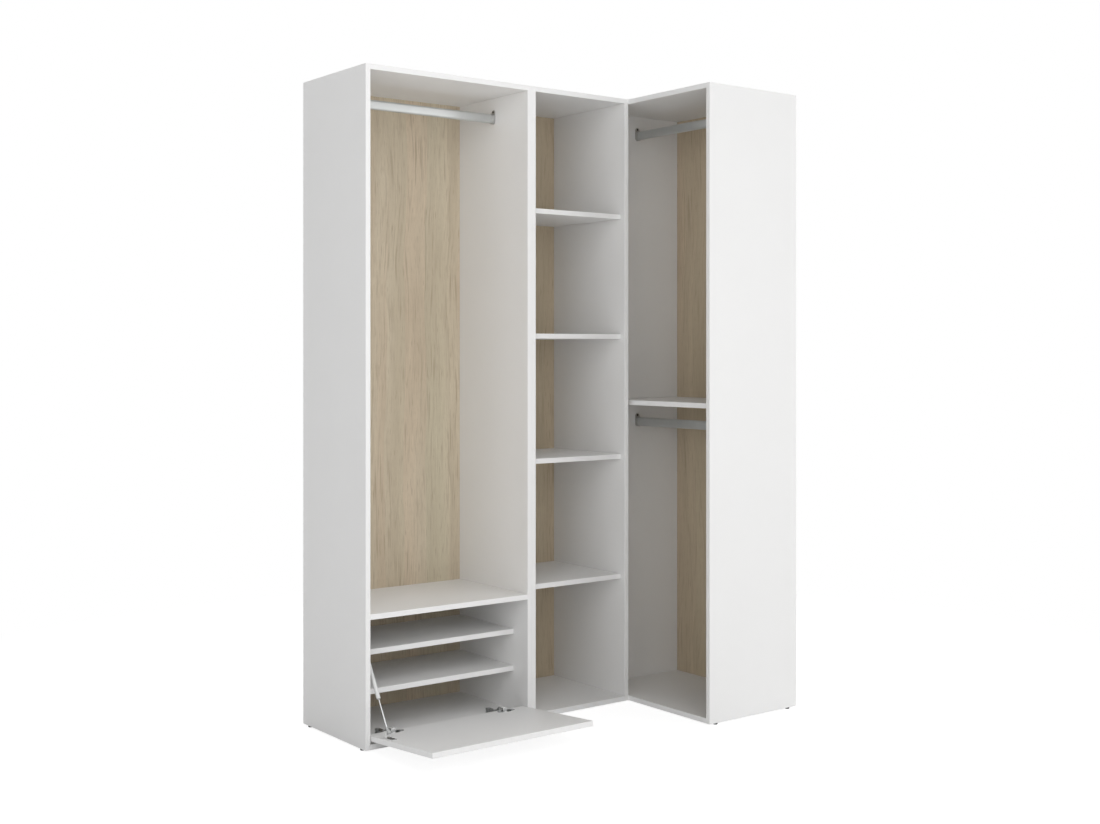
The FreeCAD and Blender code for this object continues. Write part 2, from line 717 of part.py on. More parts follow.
def build_strut_plate():
    """The plate on the left side whose stud carries the top of the strut."""
    foot = Vector(board_thickness, strut_top.y, strut_top.z)
    plate = upright_stadium(strut_plate_length, strut_plate_width, strut_plate_thickness, foot)
    shoulder_end = strut_top - AXIS_X * (socket_width / 2 + stud_gap)
    shoulder = bar(stud_shoulder_radius, foot, shoulder_end)
    stud = bar(stud_radius, foot, strut_top + AXIS_X * (socket_width / 2))
    seats = [foot + Vector(strut_plate_thickness, 0, side * strut_plate_screw_spacing / 2)
             for side in (-1, 1)]
    holes = [turned(small_screw_hole(), seat, FreeCAD.Rotation(AXIS_Z, AXIS_X)) for seat in seats]
    left.put("strut_plate", drilled(joined([plate, shoulder, stud]), holes))
    for seat in seats:
        left.drive("strut_plate_screws", small_screw(), small_screw_hole(), seat, AXIS_X,
                   ("left_outer_side",))


build_left()
build_middle()
build_right()
join_modules()
build_flap()
build_strut_foot()
build_strut()
build_strut_plate()
for module in (left, middle, right):
    module.finish()

os.makedirs("parts", exist_ok=True)
for node, shapes in nodes.items():
    shape = shapes[0] if len(shapes) == 1 else Part.makeCompound(shapes)
    shape.exportStep(f"parts/{node}.step")
    print(node, len(shape.Solids), "solids,", round(shape.Volume / 1000, 2), "cm3, valid", shape.isValid())
print("strut open", open_length, "shut", shut_length, "pivot", left.placement.multVec(pivot))
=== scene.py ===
import math

import bmesh
import bpy
import numpy as np
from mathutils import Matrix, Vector


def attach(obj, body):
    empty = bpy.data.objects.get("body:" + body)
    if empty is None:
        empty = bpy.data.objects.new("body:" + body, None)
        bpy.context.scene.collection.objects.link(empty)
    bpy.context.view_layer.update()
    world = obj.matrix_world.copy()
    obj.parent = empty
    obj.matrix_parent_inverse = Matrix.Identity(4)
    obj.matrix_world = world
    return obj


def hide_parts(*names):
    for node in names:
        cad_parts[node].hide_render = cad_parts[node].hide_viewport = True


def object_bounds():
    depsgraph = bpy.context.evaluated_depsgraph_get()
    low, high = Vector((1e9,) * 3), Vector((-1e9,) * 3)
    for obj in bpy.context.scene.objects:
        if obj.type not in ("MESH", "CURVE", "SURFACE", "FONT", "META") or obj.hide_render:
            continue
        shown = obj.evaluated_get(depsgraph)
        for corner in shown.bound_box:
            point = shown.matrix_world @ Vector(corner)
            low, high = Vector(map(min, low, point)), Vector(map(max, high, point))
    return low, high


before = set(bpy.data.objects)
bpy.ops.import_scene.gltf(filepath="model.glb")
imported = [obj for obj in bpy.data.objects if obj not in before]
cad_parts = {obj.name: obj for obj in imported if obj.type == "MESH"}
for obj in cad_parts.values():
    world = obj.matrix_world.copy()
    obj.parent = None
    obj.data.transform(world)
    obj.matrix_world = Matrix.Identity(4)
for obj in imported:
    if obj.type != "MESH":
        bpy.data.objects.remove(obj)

scene = bpy.context.scene
cad_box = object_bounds()

# White boards
# The sides, tops, bottoms, bench and shelves are 16 mm chipboard, faced with white melamine that is
# pressed with a fine pearl texture. A thin white band is glued to their edges and rounded over.
CARCASS_BOARDS = (
    "left_outer_side", "left_inner_side", "left_top", "left_bottom", "left_bench",
    "shoe_shelf_lower", "shoe_shelf_upper",
    "middle_left_side", "middle_right_side", "middle_top", "middle_bottom",
    "middle_shelf_1", "middle_shelf_2", "middle_shelf_3", "middle_shelf_4",
    "right_inner_side", "right_end_side", "right_top", "right_bottom", "right_shelf",
)
MELAMINE_WHITE = (0.815, 0.814, 0.810, 1)
MELAMINE_SHADE = (0.790, 0.788, 0.783, 1)
BAND_WHITE = (0.850, 0.848, 0.844, 1)
BAND_SHADE = (0.825, 0.823, 0.818, 1)
BAND_ROUNDING = 0.0008
BAND_ROUNDING_STEPS = 3
WELD = 1e-6
FLAT_ANGLE = math.radians(0.5)
CORNER_ANGLE = math.radians(40)
ON_OUTSIDE = 2e-5
FACE_AGREEMENT = 0.98


def place(tree, kind, inputs=None, **settings):
    """A node in a tree, with its settings and with its inputs set or linked by name or number."""
    made = tree.nodes.new(kind)
    for name, value in settings.items():
        setattr(made, name, value)
    for key, value in (inputs or {}).items():
        if isinstance(value, bpy.types.NodeSocket):
            tree.links.new(value, made.inputs[key])
        else:
            made.inputs[key].default_value = value
    return made


def math_of(tree, operation, first, second=0.0):
    """The result of one sum in a tree."""
    return place(tree, "ShaderNodeMath", {0: first, 1: second}, operation=operation).outputs[0]


def mixed(tree, share, first, second):
    """A colour between two colours or colour sockets."""
    return place(tree, "ShaderNodeMix", {0: share, 6: first, 7: second}, data_type="RGBA").outputs[2]


def ranged(tree, value, span, new_span=(0, 1)):
    """A value carried from one span to another and held inside it."""
    rows = {"Value": value, "From Min": span[0], "From Max": span[1],
            "To Min": new_span[0], "To Max": new_span[1]}
    return place(tree, "ShaderNodeMapRange", rows).outputs["Result"]


def stretched(tree, scale, detail, across=(1, 1, 1)):
    """Noise on the piece's own coordinates, each axis with its own scale."""
    coordinates = place(tree, "ShaderNodeTexCoord").outputs["Object"]
    spread = place(tree, "ShaderNodeMapping", {"Vector": coordinates, "Scale": across}).outputs["Vector"]
    rows = {"Vector": spread, "Scale": scale, "Detail": detail}
    return place(tree, "ShaderNodeTexNoise", rows).outputs["Fac"]


def shared_effect(name, inputs, outputs):
    """A shader group with named sockets. Gives the tree, its input sockets and its output node."""
    tree = bpy.data.node_groups.new(name, "ShaderNodeTree")
    for socket, start in inputs.items():
        made = tree.interface.new_socket(socket, in_out="INPUT", socket_type="NodeSocketFloat")
        made.default_value = start
    for socket in outputs:
        tree.interface.new_socket(socket, in_out="OUTPUT", socket_type="NodeSocketFloat")
    return tree, place(tree, "NodeGroupInput").outputs, place(tree, "NodeGroupOutput")


def effect(tree, group, **values):
    """A shared effect placed in a material with its own values."""
    made = place(tree, "ShaderNodeGroup", node_tree=group)
    for name, value in values.items():
        made.inputs[name.replace("_", " ").title()].default_value = value
    return made.outputs


def new_finish(name, **values):
    """A material with one shader. Gives the material, its tree and the shader's inputs."""
    finish = bpy.data.materials.new(name)
    finish.use_nodes = True
    tree = finish.node_tree
    tree.nodes.clear()
    shader = place(tree, "ShaderNodeBsdfPrincipled")
    for socket, value in values.items():
        shader.inputs[socket.replace("_", " ")].default_value = value
    place(tree, "ShaderNodeOutputMaterial", {"Surface": shader.outputs["BSDF"]})
    return finish, tree, shader.inputs


def coat(tree, sockets, colour, roughness, height, depth, strength):
    """Links a colour, a roughness and a bump of a depth in metres to a shader."""
    bump = place(tree, "ShaderNodeBump", {"Height": height, "Distance": depth, "Strength": strength})
    tree.links.new(colour, sockets["Base Color"])
    tree.links.new(roughness, sockets["Roughness"])
    tree.links.new(bump.outputs["Normal"], sockets["Normal"])


# Handling leaves soft patches of more and less shine on every finish
handling, handling_in, handling_out = shared_effect(
    "handling_marks", {"Scale": 6.0, "Roughness": 0.5, "Spread": 0.1}, ("Roughness", "Patches"))
patches = stretched(handling, handling_in["Scale"], detail=4.0)
patch_swing = math_of(handling, "SUBTRACT", patches, 0.5)
rough_swing = math_of(handling, "MULTIPLY", patch_swing, handling_in["Spread"])
rough_patches = math_of(handling, "ADD", rough_swing, handling_in["Roughness"])
handling.links.new(rough_patches, handling_out.inputs["Roughness"])
handling.links.new(patches, handling_out.inputs["Patches"])

# Pressed melamine and moulded plastic share a fine pebbled skin
pebble, pebble_in, pebble_out = shared_effect("pebbled_skin", {"Scale": 600.0}, ("Height",))
pebble.links.new(stretched(pebble, pebble_in["Scale"], detail=2.0), pebble_out.inputs["Height"])

melamine, tree, sockets = new_finish("white_melamine", Specular_IOR_Level=0.4)
marks = effect(tree, handling, scale=5.0, roughness=0.46, spread=0.16)
face_white = mixed(tree, marks["Patches"], MELAMINE_SHADE, MELAMINE_WHITE)
pearl = effect(tree, pebble, scale=650.0)["Height"]
coat(tree, sockets, face_white, marks["Roughness"], pearl, depth=0.00012, strength=0.35)

edge_band, tree, sockets = new_finish("white_edge_band", Specular_IOR_Level=0.45)
marks = effect(tree, handling, scale=18.0, roughness=0.38, spread=0.14)
band_white = mixed(tree, marks["Patches"], BAND_SHADE, BAND_WHITE)
pearl = effect(tree, pebble, scale=260.0)["Height"]
coat(tree, sockets, band_white, marks["Roughness"], pearl, depth=0.00006, strength=0.3)


def merged_copy(node):
    """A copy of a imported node, with its loose triangles welded and its flat faces made whole."""
    copy = bmesh.new()
    copy.from_mesh(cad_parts[node].data)
    bmesh.ops.remove_doubles(copy, verts=copy.verts, dist=WELD)
    bmesh.ops.dissolve_limit(copy, angle_limit=FLAT_ANGLE, verts=copy.verts, edges=copy.edges)
    copy.normal_update()
    return copy


def outside_of(copy):
    """The faces that lie on a board's outside, and not in a hole or a slot."""
    faces = list(copy.faces)
    points = np.array([vertex.co for vertex in copy.verts])
    normals = np.array([face.normal for face in faces])
    planes = np.array([face.normal.dot(face.verts[0].co) for face in faces])
    beyond = (points @ normals.T - planes).max(axis=0)
    return {face for face, reach in zip(faces, beyond) if reach < ON_OUTSIDE}


def round_over(copy, edges, rounding, steps):
    """Rounds edges of a worked copy, with the rounded faces shaded smooth."""
    rounded = bmesh.ops.bevel(copy, geom=edges, offset=rounding, offset_type="OFFSET", profile=0.5,
                              segments=steps, affect="EDGES", clamp_overlap=False)
    for face in rounded["faces"]:
        face.smooth = True


def finished_mesh(name, copy, *finishes):
    """The mesh of a worked copy in its finishes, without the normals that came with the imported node."""
    mesh = bpy.data.meshes.new(name)
    copy.to_mesh(mesh)
    copy.free()
    mesh.attributes.remove(mesh.attributes["custom_normal"])
    for finish in finishes:
        mesh.materials.append(finish)
    return mesh


def stand_for(name, mesh, slot, body, *nodes):
    """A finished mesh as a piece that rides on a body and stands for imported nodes."""
    piece = bpy.data.objects.new(name, mesh)
    scene.collection.objects.link(piece)
    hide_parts(*nodes)
    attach(piece, body)


def edged_board(node, body):
    """A board with its outer edges rounded over, its faces in melamine and its edges in band."""
    copy = merged_copy(node)
    outside = outside_of(copy)
    across = max(outside, key=lambda face: face.calc_area()).normal.copy()
    corners = [edge for edge in copy.edges
               if outside.issuperset(edge.link_faces) and edge.calc_face_angle(0) > CORNER_ANGLE]
    for face in copy.faces:
        face.smooth = face not in outside
    round_over(copy, corners, BAND_ROUNDING, BAND_ROUNDING_STEPS)
    copy.normal_update()
    for face in copy.faces:
        face.material_index = int(abs(face.normal.dot(across)) < FACE_AGREEMENT)
    mesh = finished_mesh(node + "_board", copy, melamine, edge_band)
    stand_for(node + "_board", mesh, "white_board", body, node)


for board in CARCASS_BOARDS:
    edged_board(board, "carcass")

# Dowels, cam fittings and shelf pins
# Beech dowels and zinc-plated cam bolts hold the ends of the fixed boards, and a turned cam disc in the
# board grips each bolt. Loose shelves slide on to plated pins that sit in slots in their ends.
BEECH_PALE = (0.62, 0.46, 0.30, 1)
BEECH_DARK = (0.50, 0.35, 0.21, 1)
ZINC_BRIGHT = (0.66, 0.67, 0.69, 1)
ZINC_DULL = (0.50, 0.50, 0.51, 1)
CAM_RADIUS = 0.0075
CAM_DEPTH = 0.012
HEAD_SIDES = 24
HEAD_RINGS = 3
RECESS_SHARES = {"X": 1.25, "Y": 0.27, "Z": 0.72}
SPIN_SEED = 11
PLACE_DIGITS = 4

beech, tree, sockets = new_finish("dowel_beech", Specular_IOR_Level=0.3)
marks = effect(tree, handling, scale=60.0, roughness=0.62, spread=0.2)
beech_grain = stretched(tree, scale=900.0, detail=4.0, across=(0.05, 0.05, 1))
beech_tone = mixed(tree, beech_grain, BEECH_DARK, BEECH_PALE)
coat(tree, sockets, beech_tone, marks["Roughness"], beech_grain, depth=0.00008, strength=0.5)

# Plating and paint wear through along the edges of metal pieces
worn, worn_in, worn_out = shared_effect("worn_edges", {"Radius": 0.0006, "Amount": 0.7}, ("Mask",))
rounded_normal = place(worn, "ShaderNodeBevel", {"Radius": worn_in["Radius"]}, samples=4).outputs["Normal"]
face_normal = place(worn, "ShaderNodeNewGeometry").outputs["Normal"]
agreement = place(worn, "ShaderNodeVectorMath", {0: rounded_normal, 1: face_normal},
                  operation="DOT_PRODUCT").outputs["Value"]
edge_share = ranged(worn, agreement, (0.98, 0.80))
rubbed = ranged(worn, stretched(worn, scale=260.0, detail=3.0), (0.38, 0.62), (0.15, 1))
rubbed_edge = math_of(worn, "MULTIPLY", edge_share, rubbed)
worn_share = math_of(worn, "MULTIPLY", rubbed_edge, worn_in["Amount"])
worn.links.new(worn_share, worn_out.inputs["Mask"])

zinc, tree, sockets = new_finish("zinc_plate", Metallic=1.0)
marks = effect(tree, handling, scale=240.0, roughness=0.36, spread=0.22)
plated = mixed(tree, marks["Patches"], ZINC_DULL, ZINC_BRIGHT)
worn_zinc = mixed(tree, effect(tree, worn)["Mask"], plated, ZINC_BRIGHT)
crystals = effect(tree, pebble, scale=2600.0)["Height"]
coat(tree, sockets, worn_zinc, marks["Roughness"], crystals, depth=0.00002, strength=0.4)


def dress(finish, *nodes):
    """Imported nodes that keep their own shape, in a finish."""
    for node in nodes:
        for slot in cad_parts[node].material_slots:
            slot.material = finish


def loose_solids(node):
    """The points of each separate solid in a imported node, in the order of their places."""
    copy = merged_copy(node)
    solids = []
    reached = set()
    for start in copy.verts:
        if start in reached:
            continue
        front = [start]
        reached.add(start)
        points = []
        while front:
            vertex = front.pop()
            points.append(tuple(vertex.co))
            for edge in vertex.link_edges:
                beside = edge.other_vert(vertex)
                if beside not in reached:
                    reached.add(beside)
                    front.append(beside)
        solids.append(np.array(points))
    copy.free()
    return sorted(solids, key=lambda solid: tuple(solid.mean(axis=0).round(PLACE_DIGITS)))


def growing_tree(name, *sizes):
    """A Geometry Nodes tree with named sizes and a finish. Gives the tree and its input sockets."""
    tree = bpy.data.node_groups.new(name, "GeometryNodeTree")
    tree.interface.new_socket("Seats", in_out="INPUT", socket_type="NodeSocketGeometry")
    for size in sizes:
        tree.interface.new_socket(size, in_out="INPUT", socket_type="NodeSocketFloat")
    tree.interface.new_socket("Finish", in_out="INPUT", socket_type="NodeSocketMaterial")
    tree.interface.new_socket("Grown", in_out="OUTPUT", socket_type="NodeSocketGeometry")
    return tree, place(tree, "NodeGroupInput").outputs


def shifted(tree, shape, rise, turn=0.0):
    """A shape moved along its own axis and turned about it."""
    move = place(tree, "ShaderNodeCombineXYZ", {"Z": rise}).outputs["Vector"]
    rows = {"Geometry": shape, "Translation": move, "Rotation": (0, 0, turn)}
    return place(tree, "GeometryNodeTransform", rows).outputs["Geometry"]


def joined(tree, *shapes):
    """Several shapes as one."""
    join = place(tree, "GeometryNodeJoinGeometry")
    for shape in shapes:
        tree.links.new(shape, join.inputs["Geometry"])
    return join.outputs["Geometry"]


def cross_head(tree, radius, height, crown):
    """A round head with a crowned top and a cross recess. Its top is at the origin."""
    rows = {"Vertices": HEAD_SIDES, "Fill Segments": HEAD_RINGS, "Radius": radius, "Depth": height}
    blank = place(tree, "GeometryNodeMeshCylinder", rows).outputs["Mesh"]
    position = place(tree, "GeometryNodeInputPosition").outputs["Position"]
    axes = place(tree, "ShaderNodeSeparateXYZ", {"Vector": position}).outputs
    far = math_of(tree, "ADD", math_of(tree, "POWER", axes["X"], 2.0), math_of(tree, "POWER", axes["Y"], 2.0))
    share = math_of(tree, "DIVIDE", far, math_of(tree, "POWER", radius, 2.0))
    fall = math_of(tree, "MULTIPLY", math_of(tree, "MULTIPLY", share, crown), height)
    on_top = math_of(tree, "GREATER_THAN", axes["Z"], 0.0)
    drop = math_of(tree, "MULTIPLY", math_of(tree, "MULTIPLY", fall, on_top), -1.0)
    sink = place(tree, "ShaderNodeCombineXYZ", {"Z": drop}).outputs["Vector"]
    crowned = place(tree, "GeometryNodeSetPosition", {"Geometry": blank, "Offset": sink}).outputs["Geometry"]
    recessed = shifted(tree, crowned, math_of(tree, "MULTIPLY", height, -0.5))
    rows = {axis: math_of(tree, "MULTIPLY", radius, share) for axis, share in RECESS_SHARES.items()}
    bar_size = place(tree, "ShaderNodeCombineXYZ", rows).outputs["Vector"]
    bar = place(tree, "GeometryNodeMeshCube", {"Size": bar_size}).outputs["Mesh"]
    for cutter in (bar, shifted(tree, bar, 0.0, math.pi / 2)):
        recessed = place(tree, "GeometryNodeMeshBoolean", {"Mesh 1": recessed, "Mesh 2": cutter},
                         operation="DIFFERENCE", solver="EXACT").outputs["Mesh"]
    return recessed


def set_on_seats(tree, given, shape):
    """Ends a tree: the shape on each seat, turned to look outward, spun by chance and made real."""
    outward = place(tree, "GeometryNodeInputNamedAttribute", {"Name": "outward"},
                    data_type="FLOAT_VECTOR").outputs["Attribute"]
    turned = place(tree, "FunctionNodeAlignRotationToVector", {"Vector": outward},
                   axis="Z").outputs["Rotation"]
    chance = place(tree, "FunctionNodeRandomValue", {2: 0.0, 3: math.tau, "Seed": SPIN_SEED},
                   data_type="FLOAT").outputs[1]
    about = place(tree, "ShaderNodeCombineXYZ", {"Z": chance}).outputs["Vector"]
    spin = place(tree, "FunctionNodeEulerToRotation", {"Euler": about}).outputs["Rotation"]
    spun = place(tree, "FunctionNodeRotateRotation", {"Rotation": turned, "Rotate By": spin},
                 rotation_space="LOCAL").outputs["Rotation"]
    rows = {"Points": given["Seats"], "Instance": shape, "Rotation": spun}
    seated = place(tree, "GeometryNodeInstanceOnPoints", rows).outputs["Instances"]
    real = place(tree, "GeometryNodeRealizeInstances", {"Geometry": seated}).outputs["Geometry"]
    rows = {"Geometry": real, "Material": given["Finish"]}
    finished = place(tree, "GeometryNodeSetMaterial", rows).outputs["Geometry"]
    place(tree, "NodeGroupOutput", {"Grown": finished})


def grown(name, tree, spots, ways, finish, **sizes):
    """The plain mesh that a tree grows on seats, with its named sizes set."""
    points = bpy.data.meshes.new(name + "_seats")
    points.from_pydata([tuple(spot) for spot in spots], [], [])
    points.attributes.new("outward", "FLOAT_VECTOR", "POINT").data.foreach_set("vector", np.ravel(ways))
    holder = bpy.data.objects.new(name + "_seats", points)
    scene.collection.objects.link(holder)
    growth = holder.modifiers.new("growth", "NODES")
    growth.node_group = tree
    values = {size.replace("_", " ").title(): value for size, value in sizes.items()}
    values["Finish"] = finish
    for item in tree.interface.items_tree:
        if item.name in values:
            growth[item.identifier] = values[item.name]
    graph = bpy.context.evaluated_depsgraph_get()
    mesh = bpy.data.meshes.new_from_object(holder.evaluated_get(graph), depsgraph=graph)
    holder.modifiers.clear()
    bpy.data.objects.remove(holder)
    mesh.name = name
    mesh.shade_smooth()
    mesh.set_sharp_from_angle(angle=CORNER_ANGLE)
    return mesh


cam_tree, given = growing_tree("cam_disc", "Radius", "Depth")
set_on_seats(cam_tree, given, cross_head(cam_tree, given["Radius"], given["Depth"], crown=0.0))
cam_spots = []
cam_ways = []
for disc in loose_solids("cam_discs"):
    low, high = disc.min(axis=0), disc.max(axis=0)
    looks_up = high[2] > cad_box[1][2] - ON_OUTSIDE
    cam_spots.append((*(low + high)[:2] / 2, high[2] if looks_up else low[2]))
    cam_ways.append((0, 0, 1 if looks_up else -1))
cam_mesh = grown("cam_disc_set", cam_tree, cam_spots, cam_ways, zinc, radius=CAM_RADIUS, depth=CAM_DEPTH)
stand_for("cam_disc_set", cam_mesh, "zinc_steel", "carcass", "cam_discs")
dress(beech, "dowels")
dress(zinc, "cam_bolts", "shelf_pins")

# Oak backs
# Each module is closed behind by a 3 mm hardboard sheet, printed with pale oak on the inside, bare brown
# outside and sealed white round its rim. The print has upright strips of different tone, streaks and pores.
# The sheets of the middle and right modules take a darker copy of the print, as painted shade.
OAK_BACKS = {"left_back": (0, -1, 0), "middle_back": (0, -1, 0), "right_back": (-1, 0, 0)}
OAK_STREAK = (0.40, 0.315, 0.22, 1)
LEFT_OAK_PALE = (0.687, 0.605, 0.468, 1)
LEFT_OAK_PINK = (0.714, 0.595, 0.456, 1)
LEFT_OAK_GREEN = (0.640, 0.590, 0.446, 1)
SHADED_OAK_PALE = (0.613, 0.518, 0.383, 1)
SHADED_OAK_PINK = (0.637, 0.509, 0.374, 1)
SHADED_OAK_GREEN = (0.570, 0.504, 0.365, 1)
OAK_STRIPS_PER_METRE = 14.0
OAK_STRIP_SHIFT = 7.0
OAK_SWAY = 0.04
HARDBOARD_BROWN = (0.30, 0.19, 0.105, 1)
HARDBOARD_FIBRE = (0.38, 0.25, 0.145, 1)
HARDBOARD_BARK = (0.14, 0.08, 0.045, 1)
HARDBOARD_PALE = (0.52, 0.38, 0.24, 1)


def oak_print(name, pale, pink, green):
    """Printed oak: strips of pink and green tone, pale clouds, and darker streaks, fibres and pores."""
    oak, tree, sockets = new_finish(name, Specular_IOR_Level=0.2)
    coordinates = place(tree, "ShaderNodeTexCoord").outputs["Object"]
    axes = place(tree, "ShaderNodeSeparateXYZ", {"Vector": coordinates}).outputs
    drift = stretched(tree, scale=1.0, detail=2.0, across=(3, 3, 1.5))
    sway = ranged(tree, drift, (0, 1), (-OAK_SWAY, OAK_SWAY))
    swayed = math_of(tree, "ADD", math_of(tree, "ADD", axes["X"], axes["Y"]), sway)
    strips = place(tree, "ShaderNodeTexVoronoi", {"W": swayed, "Scale": OAK_STRIPS_PER_METRE},
                   voronoi_dimensions="1D").outputs["Color"]
    strip_tone = place(tree, "ShaderNodeSeparateColor", {"Color": strips}).outputs
    strip_shift = math_of(tree, "MULTIPLY", strip_tone["Blue"], OAK_STRIP_SHIFT)
    height = math_of(tree, "ADD", strip_shift, axes["Z"])
    spread = place(tree, "ShaderNodeCombineXYZ", {"X": swayed, "Y": height}).outputs["Vector"]

    def grain(across, along, detail, span, new_span, roughness=0.5):
        """Noise drawn out along the height, shifted from strip to strip, carried to a new span."""
        rows = {"Vector": spread, "Scale": (across, along, 1)}
        scaled = place(tree, "ShaderNodeMapping", rows).outputs["Vector"]
        rows = {"Vector": scaled, "Scale": 1.0, "Detail": detail, "Roughness": roughness}
        noise = place(tree, "ShaderNodeTexNoise", rows, noise_dimensions="2D").outputs["Fac"]
        return ranged(tree, noise, span, new_span)

    clouds = grain(across=9, along=0.5, detail=2.0, span=(0.36, 0.64), new_span=(0, 1))
    tones = grain(across=17, along=1.5, detail=3.0, span=(0.3, 0.7), new_span=(0, 0.3))
    streak_groups = grain(across=13, along=2.8, detail=1.0, span=(0.38, 0.6), new_span=(0.2, 1))
    streak_lines = grain(across=140, along=6.0, detail=2.0, span=(0.54, 0.74), new_span=(0, 0.7))
    streaks = math_of(tree, "MULTIPLY", streak_groups, streak_lines)
    flecks = grain(across=260, along=15.0, detail=2.0, span=(0.64, 0.78), new_span=(0, 0.7))
    fibres = grain(across=620, along=8.0, detail=3.0, span=(0.3, 0.7), new_span=(0, 0.26), roughness=0.6)
    pores = grain(across=1100, along=30.0, detail=2.0, span=(0.58, 0.72), new_span=(0, 0.4))
    colour = mixed(tree, clouds, mixed(tree, strip_tone["Red"], pink, green), pale)
    for share in (tones, fibres, streaks, flecks, pores):
        colour = mixed(tree, share, colour, OAK_STREAK)
    marks = effect(tree, handling, scale=7.0, roughness=0.5, spread=0.14)
    coat(tree, sockets, colour, marks["Roughness"], pores, depth=-0.00008, strength=0.5)
    return oak


pale_oak = oak_print("pale_oak_decor", LEFT_OAK_PALE, LEFT_OAK_PINK, LEFT_OAK_GREEN)
# The darker copy is painted shade for the dimmer middle and right compartments.
shaded_oak = oak_print("painted_shade_oak_decor", SHADED_OAK_PALE, SHADED_OAK_PINK, SHADED_OAK_GREEN)

hardboard, tree, sockets = new_finish("bare_hardboard", Specular_IOR_Level=0.3)
marks = effect(tree, handling, scale=4.0, roughness=0.68, spread=0.2)
fibres = stretched(tree, scale=420.0, detail=4.0)
fibre_share = ranged(tree, fibres, (0.35, 0.65), (0, 0.5))
pressed_clouds = ranged(tree, stretched(tree, scale=9.0, detail=4.0), (0.32, 0.68))
bark_flecks = ranged(tree, stretched(tree, scale=240.0, detail=3.0), (0.60, 0.74), (0, 0.55))
pale_flecks = ranged(tree, stretched(tree, scale=330.0, detail=3.0), (0.62, 0.74), (0, 0.5))
board_tone = mixed(tree, pressed_clouds, HARDBOARD_BROWN, HARDBOARD_FIBRE)
for share, tone in ((fibre_share, HARDBOARD_FIBRE), (bark_flecks, HARDBOARD_BARK),
                    (pale_flecks, HARDBOARD_PALE)):
    board_tone = mixed(tree, share, board_tone, tone)
coat(tree, sockets, board_tone, marks["Roughness"], fibres, depth=0.00015, strength=0.5)

for node, inward in OAK_BACKS.items():
    copy = merged_copy(node)
    for face in copy.faces:
        face.smooth = False
        face.material_index = 1 + round(face.normal.dot(Vector(inward)))
    # The left sheet takes the plain print, and the middle and right sheets take the painted-shade copy.
    mesh = finished_mesh(node + "_sheet", copy, hardboard, edge_band,
                         pale_oak if node == "left_back" else shaded_oak)
    stand_for(node + "_sheet", mesh, "oak_back", "carcass", node)

# Nails of the backs
# The sheets are held to the rear edges of the boards by plated flat-headed nails, one every quarter metre
# or so.
FASTENER_SIZES = ("Head Radius", "Head Height", "Shank Radius", "Length")
BACK_NAIL_HEAD = 0.0008
NAIL_HEAD_SIDES = 12
NAIL_SHANK_SIDES = 8
SHANK_END = 1e-4
POINT_RADII = 3.0
POINT_BLUNTNESS = 0.15


def fastener_seats(node):
    """Where each screw or nail of a node has its head, which way it looks, and its measured sizes."""
    spots = []
    ways = []
    sizes = {}
    for points in loose_solids(node):
        offsets = points - points.mean(axis=0)
        way = np.linalg.svd(offsets)[2][0]
        along = offsets @ way
        away = np.linalg.norm(offsets - np.outer(along, way), axis=1)
        if along[away.argmax()] < (along.max() + along.min()) / 2:
            way, along = -way, -along
        spots.append(points.mean(axis=0) + way * along.max())
        ways.append(way)
        sizes = {"head_radius": away.max(), "shank_radius": away[along < along.min() + SHANK_END].max(),
                 "length": np.ptp(along)}
    return spots, ways, {size: float(value) for size, value in sizes.items()}


def pointed_shank(tree, given, sides):
    """A straight shank with a pointed end, from under a head to the fastener's length."""
    point = math_of(tree, "MULTIPLY", given["Shank Radius"], POINT_RADII)
    blunt_end = math_of(tree, "MULTIPLY", given["Shank Radius"], POINT_BLUNTNESS)
    under_head = math_of(tree, "SUBTRACT", given["Length"], given["Head Height"])
    straight = math_of(tree, "SUBTRACT", under_head, point)
    rows = {"Vertices": sides, "Radius": given["Shank Radius"], "Depth": straight}
    shank = place(tree, "GeometryNodeMeshCylinder", rows).outputs["Mesh"]
    middle = math_of(tree, "MULTIPLY", straight, -0.5)
    lower = math_of(tree, "SUBTRACT", middle, given["Head Height"])
    rows = {"Vertices": sides, "Radius Top": given["Shank Radius"], "Radius Bottom": blunt_end,
            "Depth": point}
    tip = place(tree, "GeometryNodeMeshCone", rows).outputs["Mesh"]
    tip_foot = math_of(tree, "MULTIPLY", given["Length"], -1.0)
    return joined(tree, shifted(tree, shank, lower), shifted(tree, tip, tip_foot))


nail_tree, given = growing_tree("flat_nail", *FASTENER_SIZES)
rows = {"Vertices": NAIL_HEAD_SIDES, "Radius": given["Head Radius"], "Depth": given["Head Height"]}
nail_blank = place(nail_tree, "GeometryNodeMeshCylinder", rows).outputs["Mesh"]
nail_head = shifted(nail_tree, nail_blank, math_of(nail_tree, "MULTIPLY", given["Head Height"], -0.5))
nail_shank = pointed_shank(nail_tree, given, NAIL_SHANK_SIDES)
set_on_seats(nail_tree, given, joined(nail_tree, nail_head, nail_shank))


def fastened(name, node, tree, finish, head_height, slot, body):
    """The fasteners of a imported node, grown again with their heads and points."""
    spots, ways, sizes = fastener_seats(node)
    mesh = grown(name, tree, spots, ways, finish, head_height=head_height, **sizes)
    stand_for(name, mesh, slot, body, node)


fastened("back_nail_set", "back_nails", nail_tree, zinc, BACK_NAIL_HEAD, "zinc_steel", "carcass")

# Glides
# Round black plastic glides are nailed under the sides and keep the boards off the floor.
BLACK_MOULDED = (0.018, 0.018, 0.019, 1)
BLACK_SCUFFED = (0.055, 0.055, 0.056, 1)
GLIDE_NAIL_HEAD = 0.001
GLIDE_ROUNDING = 0.0006
SMALL_ROUNDING_STEPS = 2

